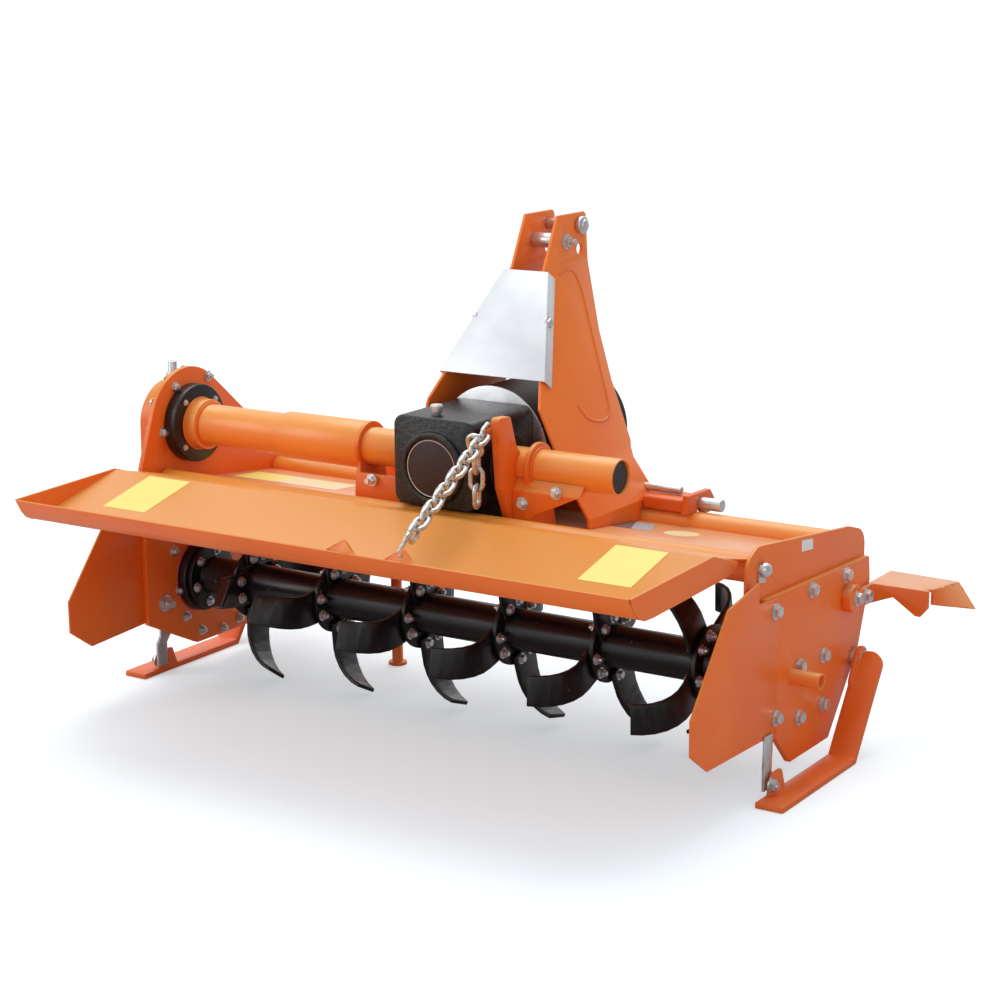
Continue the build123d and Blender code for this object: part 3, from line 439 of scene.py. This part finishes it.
def grown(name, tree, body, places, attribute, vectors, **inputs):
    """Runs a tree on the given points and leaves its result as a plain mesh that rides on a body."""
    seeds = bpy.data.meshes.new(name + "_points")
    seeds.from_pydata([Vector(p) for p in places], [], [])
    layer = seeds.attributes.new(attribute, "FLOAT_VECTOR", "POINT")
    for item, vector in zip(layer.data, vectors):
        item.vector = vector
    holder = in_scene(name + "_points", seeds)
    modifier = holder.modifiers.new("grow", "NODES")
    modifier.node_group = tree
    sockets = [item for item in tree.interface.items_tree if item.item_type == "SOCKET"]
    named = {item.name: item.identifier for item in sockets if item.in_out == "INPUT"}
    for label, value in inputs.items():
        modifier[named[label.replace("_", " ")]] = value
    grown_mesh = baked_mesh(holder)
    holder.modifiers.remove(modifier)
    bpy.data.objects.remove(holder)
    grown_mesh.name = name
    piece = in_scene(name, grown_mesh)
    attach(piece, body)
    return piece


bolts = bolt_tree()
right, left, rearward, up = (1, 0, 0), (-1, 0, 0), (0, -1, 0), (0, 0, 1)

# Axes of the CAD that several pieces share, as (y, z) in millimetres, and the inner faces of the side walls
drive_y, drive_z = 31.0, 458.0
rotor_y, rotor_z = 46.0, 172.0
hinge_y, hinge_z = -46.0, 364.0
skid_eye_y, skid_eye_z = 278.0, 144.0
inner_wall = 590.0
mast_middle_x = 10.0


def bolt_row(name, body, spots, size, thread=0.0):
    """Bolt heads of one thread size in millimetres, each at (x, y, z) facing an axis."""
    piece = grown(
        name,
        bolts,
        body,
        [mm(*spot[0]) for spot in spots],
        "axis",
        [spot[1] for spot in spots],
        Head_Radius=size * 0.92 / 1000,
        Head_Height=size * 0.62 / 1000,
        Washer_Radius=size * 1.2 / 1000,
        Washer_Thickness=size * 0.2 / 1000,
        Thread_Length=thread / 1000,
        Thread_Radius=size * 0.5 / 1000,
    )
    return piece


def placed(name, body, mesh, finish):
    """Links a finished mesh as a piece that rides on a body."""
    mesh.materials.clear()
    mesh.materials.append(finish)
    piece = in_scene(name, mesh)
    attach(piece, body)
    return piece


def turned(name, body, foot, axis, profile, finish, steps=40, ring=False):
    """A turned piece or a weld bead: its profile gives (reach along the axis, radius) in millimetres."""
    way = Vector(axis).normalized()
    side = way.orthogonal().normalized()
    other = way.cross(side)
    shape = bmesh.new()
    rings = []
    for reach, radius in profile:
        centre = Vector(foot) + way * reach
        count = steps if radius else 1
        angles = [math.tau * k / steps for k in range(count)]
        spokes = [side * math.cos(t) + other * math.sin(t) for t in angles]
        rings.append([shape.verts.new((centre + spoke * radius) / 1000) for spoke in spokes])
    pairs = list(zip(rings, rings[1:] + rings[:1])) if ring else list(zip(rings, rings[1:]))
    for low, high in pairs:
        for k in range(steps):
            corners = [low[k % len(low)], low[(k + 1) % len(low)]]
            corners += [high[(k + 1) % len(high)], high[k % len(high)]]
            shape.faces.new(list(dict.fromkeys(corners))).smooth = True
    bmesh.ops.recalc_face_normals(shape, faces=shape.faces)
    mesh = bpy.data.meshes.new(name)
    shape.to_mesh(mesh)
    shape.free()
    mesh.set_sharp_from_angle(angle=turned_sharp_from)
    return placed(name, body, mesh, finish)


def bead(name, foot, axis, radius, size, body="frame", finish=None):
    """A weld bead round a tube."""
    angles = [k * math.tau / 8 for k in range(8)]
    profile = [(size * math.cos(t) * 0.5, radius + size * math.sin(t) * 0.6) for t in angles]
    return turned(name, body, foot, axis, profile, finish or orange_welded, 48, True)


def wire(name, body, points, radius, finish):
    """A bent round wire or a pressed rib along a smooth line."""
    curve = bpy.data.curves.new(name, "CURVE")
    curve.dimensions = "3D"
    spline = curve.splines.new("NURBS")
    spline.points.add(len(points) - 1)
    for point, place in zip(spline.points, points):
        point.co = (*mm(*place), 1.0)
    spline.order_u = 3
    spline.use_endpoint_u = True
    spline.resolution_u = 6
    curve.bevel_depth = radius / 1000
    curve.bevel_resolution = 3
    curve.use_fill_caps = True
    holder = in_scene(name + "_line", curve)
    mesh = baked_mesh(holder)
    bpy.data.objects.remove(holder)
    mesh.name = name
    for face in mesh.polygons:
        face.use_smooth = True
    return placed(name, body, mesh, finish)


def sticker(name, body, corners, finish, thick=0.3):
    """A thin plate from its four corners in millimetres, raised off what it is stuck on."""
    a, b, c, d = (Vector(corner) / 1000 for corner in corners)
    normal = (b - a).cross(d - a).normalized() * thick / 1000
    seat = normal * 0.3
    low = [p + seat for p in (a, b, c, d)]
    high = [p + seat + normal for p in (a, b, c, d)]
    faces = [(3, 2, 1, 0), (4, 5, 6, 7), (0, 1, 5, 4), (1, 2, 6, 5), (2, 3, 7, 6), (3, 0, 4, 7)]
    mesh = bpy.data.meshes.new(name)
    mesh.from_pydata(low + high, [], faces)
    return placed(name, body, mesh, finish)


def bolt_circle(x, y, z, radius, degrees, way):
    """Spots for bolt_row on a circle about an axis along X."""
    angles = [math.radians(value) for value in degrees]
    return [((x, y + radius * math.cos(a), z + radius * math.sin(a)), way) for a in angles]


# Both sides: bearing plate, skirt, hinge caps, guard pivots and skid eyes
plate_x, skirt_x = 606.0, 610.0
right_plate_bolts = [(113, 297), (239, 292), (160, 177), (72, 182), (160, 96), (73, 98)]
bolt_row("bearing_plate_bolts", "frame", [((plate_x, y, z), right) for y, z in right_plate_bolts], 11.0)
skirt_bolts = [(-23, 295), (-16, 123)]
bolt_row("skirt_bolts_right", "frame", [((skirt_x, y, z), right) for y, z in skirt_bolts], 11.0)
dome = [(0.0, 0.0), (0.0, 12.0), (2.0, 12.0)]
dome += [(2.0 + 9.5 * math.sin(t), 11.5 * math.cos(t)) for t in (0.2, 0.5, 0.8, 1.1, 1.35)]
dome += [(11.5, 0.0)]
turned("hinge_cap_right", "frame", (602.0, hinge_y, hinge_z), right, dome, zinc_bolt)
turned("hinge_cap_left", "frame", (-600.0, hinge_y, hinge_z), left, dome, zinc_bolt)
bolt_row("guard_bolts_right", "frame", [((622, 250, 252), right), ((614, 304, 243), right)], 11.0)
bolt_row("guard_bolts_left", "frame", [((-616, 250, 252), left), ((-608, 304, 243), left)], 11.0)
tab = [(-56, 362), (-36, 362), (-37, 342), (-58, 346)]
sticker("hinge_cap_tab", "frame", [(600, y, z) for y, z in tab], zinc_bolt, 2.5)
collar = [(0.0, 14.2), (0.0, 17.0), (7.0, 17.0), (7.0, 14.2)]
spacer_foot = (606.4, skid_eye_y, skid_eye_z)
turned("skid_spacer_right", "frame", spacer_foot, right, collar, zinc_bolt, 32, True)
for side, hand, way in ((1, "right", right), (-1, "left", left)):
    spots = [((side * 622, skid_eye_y, skid_eye_z), way), ((side * 619, -45, 25), way)]
    bolt_row("skid_bolts_" + hand, "frame", spots, 11.0, 4.0)

# Left side: the wall's inside, the bearing, the chain case
wall_bolts = [(-5, 527), (86, 533), (-42, 450), (-26, 230), (-16, 155)]
wall_bolts += [(0, 102), (42, 65), (102, 54), (150, 62)]
wall_spots = [((-inner_wall, y, z), right) for y, z in wall_bolts]
bolt_row("chain_case_bolts_inside", "frame", wall_spots, 8.0, 4.0)
bolt_row("wall_nut_inside", "frame", [((-inner_wall, -56, 140), right)], 13.0, 9.0)
rotor_ring = bolt_circle(-561.5, rotor_y, rotor_z, 47, range(15, 375, 60), right)
bolt_row("rotor_end_bolts", "rotor", rotor_ring, 7.5, 2.0)
drive_ring = bolt_circle(-565, drive_y, drive_z, 57, range(41, 401, 90), right)
marks = bolt_row("drive_flange_bolts", "frame", drive_ring, 4.5)
marks.data.materials[0] = red_mark
rim = [(0.0, 66.3), (0.0, 69.0), (2.0, 68.0), (2.0, 66.3)]
primer_foot = (-589.9, rotor_y, rotor_z)
turned("bearing_primer_line", "frame", primer_foot, right, rim, red_mark, 56, True)
case_rim = bolt_circle(-600, drive_y, drive_z, 92, range(0, 210, 30), left)
bolt_row("chain_case_bolts_outside", "frame", case_rim, 8.0)

# Gearbox: the cover's rim and the breather
rim = [(0.0, 45.5), (0.0, 48.0), (1.2, 47.4), (1.2, 46.0)]
cover_foot = (mast_middle_x, -70, drive_z)
turned("gearbox_cover_rim", "frame", cover_foot, rearward, rim, bare_steel, 64, True)
breather = [(0.0, 0.0), (0.0, 6.0), (5.0, 6.0), (5.0, 9.5)]
breather += [(8.0, 10.5), (17.0, 10.5), (19.0, 9.0), (19.0, 0.0)]
turned("breather_cap", "frame", (0, -38, 539), up, breather, zinc_bolt, 24)

# Drive tubes: weld beads, and a black disc inside the open tube as painted shade for its dark inside
for name, x, radius, size in (
    ("bead_drive_flange", -564, 45.0, 5.0),
    ("bead_collar", -541, 37.5, 5.0),
    ("bead_sleeve_right", -190, 33.0, 4.0),
    ("bead_right_ring_a", 147, 31.0, 5.0),
    ("bead_right_ring_b", 157, 31.0, 5.0),
):
    bead(name, (x, drive_y, drive_z), right, radius, size)
# Painted shade: a black disc set inside the open tube end stands for the tube's dark inside.
shade_disc = [(0.0, 0.0), (0.0, 26.5), (3.0, 26.5), (5.0, 24.0), (5.0, 0.0)]
turned("tube_shade_disc", "frame", (300, drive_y, drive_z), right, shade_disc, black_cast)
saddle_spots = [((148, -12, 405), rearward), ((212, -12, 430), rearward)]
bolt_row("saddle_bolts", "frame", saddle_spots, 9.0, 3.0)
bolt_row("saddle_bolt_left", "frame", [((-152, -14, 410), rearward)], 9.0, 8.0)

# Mast: pressed ribs, bolts, the cover's screws
mast_top_half, mast_flare_half = 35.0, 150.0
mast_bend_z, mast_flare_z = 752.0, 442.0
mast_slope = (mast_flare_half - mast_top_half) / (mast_bend_z - mast_flare_z)


def mast_point(y, z, side, lift=0.0):
    """A point on a mast plate's outer face, in millimetres."""
    half = mast_top_half + (mast_bend_z - z) * mast_slope + lift
    return (mast_middle_x + side * half, y, z)


rib_line = [(262, 738), (292, 745), (314, 738), (318, 700), (308, 641), (298, 570)]
rib_line += [(290, 512), (276, 494), (246, 494), (205, 506), (196, 530)]
for side, hand in ((1, "right"), (-1, "left")):
    rib = [mast_point(y, z, side, -1.6) for y, z in rib_line]
    wire("mast_pressed_rib_" + hand, "frame", rib, 3.4, orange)
    top = (45, 292, 792) if side > 0 else (-25, 292, 792)
    way = (side, 0, 0)
    bolt_row("spacer_nut_" + hand, "frame", [(top, way)], 11.0, 11.0)
    spot = mast_point(177, 669, side, 3.2)
    bolt_row("cover_screw_" + hand, "frame", [(spot, way)], 9.0)

# Rotor: bolts through each flange and the root of each tine
flange_first, flange_count, flange_thick, tine_thick = -469.0, 6, 8.0, 7.3
flange_pitch = (-2 * flange_first - flange_thick) / (flange_count - 1)
flange_lead = 7
tine_heads, flange_heads = [], []
for index in range(flange_count):
    x = flange_first + flange_pitch * index
    for number in range(4):
        hand = -1 if number % 2 == 0 else 1
        hand = 1 if index == 0 else -1 if index == flange_count - 1 else hand
        angle = math.radians(90 * number + flange_lead * index)
        for reach, shift in ((50.0, 15.0), (50.0, -15.0)):
            y = rotor_y + reach * math.cos(angle) - shift * math.sin(angle)
            z = rotor_z + reach * math.sin(angle) + shift * math.cos(angle)
            tine_face = x + flange_thick + tine_thick if hand > 0 else x - tine_thick
            flange_face = x if hand > 0 else x + flange_thick
            tine_heads.append(((tine_face, y, z), (hand, 0, 0)))
            flange_heads.append(((flange_face, y, z), (-hand, 0, 0)))
for name, spots, thread in (("tine_bolt_heads", tine_heads, 0.0), ("tine_bolt_nuts", flange_heads, 5.0)):
    row = bolt_row(name, "rotor", spots, 8.0, thread)
    row.data.materials[0] = zinc_dull
for index in range(flange_count):
    x = flange_first + flange_pitch * index
    foot = (x - 1.0, rotor_y, rotor_z)
    bead("flange_bead_%d" % index, foot, right, 36.0, 5.0, "rotor", black_gloss)

# Chain
bpy.context.view_layer.update()
link_length, link_width, link_wire, link_count = 44.0, 29.0, 8.0, 13
link_pitch = link_length - 2 * link_wire
hook_pin = Vector((102.0, -42.0, 526.0))
chain_end = Vector((189.0, -393.0, 428.0))
chain_way = (chain_end - hook_pin).normalized()
chain_side = (Vector((1, 0, 0)) - chain_way * chain_way.x).normalized()
pin_reach = link_length / 2 - link_wire - 5.8


def link_turn(along, normal):
    """Euler angles that lay a link along one direction, with its ring's plane square to another."""
    across = normal.cross(along).normalized()
    return Matrix((along, across, along.cross(across))).transposed().to_euler()


links = link_tree()
spots, turns = [], []
for number in range(link_count):
    spots.append((hook_pin + chain_way * (pin_reach + link_pitch * number)) / 1000)
    normal = chain_side if number % 2 == 0 else chain_way.cross(chain_side)
    turns.append(link_turn(chain_way, normal))
chain = grown("tailboard_chain", links, "chain", spots, "turn", turns)
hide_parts("chain")
chain_up = chain_way.cross(chain_side)
hang = Vector((0, 0, -1))
level_way = Vector((chain_way.x, chain_way.y, 0)).normalized()
level_side = hang.cross(level_way)
wire_offset = (link_width - link_wire) / 2 + 0.5
first_middle = hook_pin + chain_way * (pin_reach + link_pitch) - chain_side * wire_offset
first_middle -= chain_up * (link_length / 2 - 1.5 * link_wire - 0.7)
first_end = first_middle - chain_up * (link_pitch / 2)
spots, turns = [first_middle / 1000], [link_turn(-chain_up, chain_way)]
for number in range(3):
    spots.append((first_end + hang * (link_pitch / 2 + link_pitch * number)) / 1000)
    turns.append(link_turn(hang, level_side if number % 2 == 0 else level_way))
tail = grown("chain_loose_tail", links, "chain_tail", spots, "turn", turns)
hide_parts("chain_tail")

# The hook that stays on the tailboard's ear when the chain swings away
end_inset = 12.0
last_end = chain_end - chain_way * end_inset
ear_peak = Vector((189.0, -412.0, 424.0))
hook_line = [
    last_end + Vector((0, 6, 7)),
    last_end + Vector((0, -4, 8)),
    last_end + Vector((0, -12, -2)),
    ear_peak + Vector((-7, 8, -9)),
    ear_peak + Vector((0, 0, -15)),
    ear_peak + Vector((7, -2, -9)),
]
wire("tailboard_chain_hook", "tailboard", hook_line, 3.6, zinc_chain)

# Blank stickers
crest_y, crest_z = -177.0, 410.0
valley_y, valley_z = -357.0, 366.0
deck_front_y, deck_front_z = 285.0, 326.0


def board_z(y):
    """Height of the tailboard's upper face between its crest and its valley."""
    return crest_z + (y - crest_y) * (valley_z - crest_z) / (valley_y - crest_y)


def deck_z(y):
    """Height of the deck's upper face."""
    return hinge_z + (y - hinge_y) * (deck_front_z - hinge_z) / (deck_front_y - hinge_y)


for name, x0, x1, y0, y1 in (
    ("warning_blank_left", -499.0, -408.0, -300.0, -182.0),
    ("warning_blank_right", 422.0, 512.0, -293.0, -181.0),
):
    corners = [(x0, y0, board_z(y0)), (x1, y0, board_z(y0)), (x1, y1, board_z(y1)), (x0, y1, board_z(y1))]
    sticker(name, "tailboard", corners, yellow_vinyl)
deck_blanks = (
    ("deck_blank_dark", [(216, 156), (253, 158), (220, 234), (216, 233)], grey_plate),
    ("deck_blank_pale", [(253, 158), (290, 159), (257, 235), (220, 234)], grey_vinyl),
    ("deck_blank_left", [(-560, 110), (-470, 112), (-480, 200), (-570, 198)], yellow_vinyl),
    ("deck_blank_left_pale", [(-470, 112), (-330, 114), (-340, 202), (-480, 200)], pale_vinyl),
)
for name, outline, finish in deck_blanks:
    sticker(name, "frame", [(x, y, deck_z(y)) for x, y in outline], finish)
wall_outline = [(94, 361), (134, 357), (133, 374), (93, 379)]
wall_corners = [(596, y, z) for y, z in wall_outline]
sticker("wall_blank", "frame", wall_corners, white_vinyl)
round_foot = (338.0, 178.0, deck_z(178.0) - 0.2)
deck_normal = (0, 0.114, 0.993)
disc = [(0.0, 0.0), (0.0, 30.0), (0.6, 30.0), (0.6, 0.0)]
turned("deck_round_blank", "frame", round_foot, deck_normal, disc, pale_vinyl)

# Camera, floor and light
azimuth, elevation, roll = math.radians(33.2), math.radians(13.2), math.radians(-0.5)
flat = math.cos(elevation)
back = Vector((math.sin(azimuth) * flat, -math.cos(azimuth) * flat, math.sin(elevation)))
sideways = Vector((math.cos(azimuth), math.sin(azimuth), 0))
upright = back.cross(sideways)
across = sideways * math.cos(roll) + upright * math.sin(roll)
upward = upright * math.cos(roll) - sideways * math.sin(roll)
lens = bpy.data.cameras.new("photo_camera")
lens.lens = 82.49
lens.sensor_width = 36.0
lens.clip_end = 60.0
camera = in_scene("photo_camera", lens)
turn = Matrix((across, upward, back)).transposed().to_4x4()
camera_place = (2.0948, -3.0530, 1.2580)
camera.matrix_world = Matrix.Translation(camera_place) @ turn
bpy.context.scene.camera = camera
bpy.context.scene.view_settings.view_transform = "Standard"

floor_material, tree = new_material("white_studio_floor")
grain = add(tree, "ShaderNodeTexNoise", {"Vector": object_place(tree)}, scale=3.0, detail=2.0)
shade = add(tree, "ShaderNodeValToRGB", {"Fac": grain.outputs["Fac"]})
shade.color_ramp.elements[0].color = paint("DCE2E8")
shade.color_ramp.elements[1].color = paint("E0E6EC")
cloth = add(tree, "ShaderNodeBsdfDiffuse", {"Color": shade.outputs["Color"]})
glow = add(tree, "ShaderNodeEmission", color=paint("E8F8FC"), strength=0.46)
rays = add(tree, "ShaderNodeLightPath")
both = add(tree, "ShaderNodeAddShader", {0: cloth.outputs[0], 1: glow.outputs[0]})
dim = add(tree, "ShaderNodeBsdfDiffuse", color=paint("B4B6BA"))
camera_ray, glossy_ray = rays.outputs["Is Camera Ray"], rays.outputs["Is Glossy Ray"]
pick = add(tree, "ShaderNodeMixShader", {0: camera_ray, 1: cloth.outputs[0], 2: both.outputs[0]})
pick = add(tree, "ShaderNodeMixShader", {0: glossy_ray, 1: pick.outputs[0], 2: dim.outputs[0]})
finish_material(tree, pick)
floor_mesh = bpy.data.meshes.new("floor")
half_side = 9
floor_corners = [(-half_side, -half_side, 0), (half_side, -half_side, 0)]
floor_corners += [(half_side, half_side, 0), (-half_side, half_side, 0)]
floor_mesh.from_pydata(floor_corners, [], [(0, 1, 2, 3)])
floor_mesh.materials.append(floor_material)
floor = in_scene("floor", floor_mesh)

# The world is white behind the part, and dimmer to one side where polished metal reflects it
world = bpy.data.worlds.new("studio")
bpy.context.scene.world = world
world.use_nodes = True
tree = world.node_tree
tree.nodes.clear()
rays = add(tree, "ShaderNodeLightPath")
heading = add(tree, "ShaderNodeSeparateXYZ", {0: add(tree, "ShaderNodeTexCoord").outputs["Generated"]})
graded = {"from_min": 0.0, "from_max": 0.6, "to_min": 1.0, "to_max": 0.35}
backdrop = add(tree, "ShaderNodeMapRange", {"Value": heading.outputs["X"]}, **graded)
glossy_ray = rays.outputs["Is Glossy Ray"]
level = add(tree, "ShaderNodeMix", {0: glossy_ray, 3: backdrop.outputs[0]}, data_type="FLOAT", _2=0.5)
ambient = add(tree, "ShaderNodeBackground", {"Strength": level.outputs[0]}, color=paint("FFFFFF"))
white = add(tree, "ShaderNodeBackground", color=paint("FFFFFF"), strength=1.0)
camera_ray, through_ray = rays.outputs["Is Camera Ray"], rays.outputs["Is Transmission Ray"]
seen = add(tree, "ShaderNodeMath", {0: camera_ray, 1: through_ray}, operation="MAXIMUM")
pick = add(tree, "ShaderNodeMixShader", {0: seen.outputs[0], 1: ambient.outputs[0], 2: white.outputs[0]})
add(tree, "ShaderNodeOutputWorld", {"Surface": pick.outputs[0]})


def softbox(name, place, aim, size, watts):
    light = bpy.data.lights.new(name, "AREA")
    light.shape = "RECTANGLE"
    light.size, light.size_y = size
    light.energy = watts
    lamp = in_scene(name, light)
    lamp.location = place
    lamp.rotation_euler = (Vector(aim) - Vector(place)).to_track_quat("-Z", "Y").to_euler()


softbox("overhead_softbox", (-0.3, 0.2, 2.9), (0, 0, 0.3), (2.6, 2.2), 12.0)
softbox("left_softbox", (-2.6, -2.2, 1.9), (0, 0, 0.4), (1.6, 1.6), 24.0)
softbox("front_softbox", (2.4, -2.6, 1.6), (0, 0, 0.3), (1.6, 1.6), 9.0)
sky = bpy.data.lights.new("even_daylight", "SUN")
sky.energy = 1.4
sky.angle = math.radians(50.0)
daylight = in_scene("even_daylight", sky)
daylight.rotation_euler = (math.radians(-22.0), math.radians(-12.0), 0)
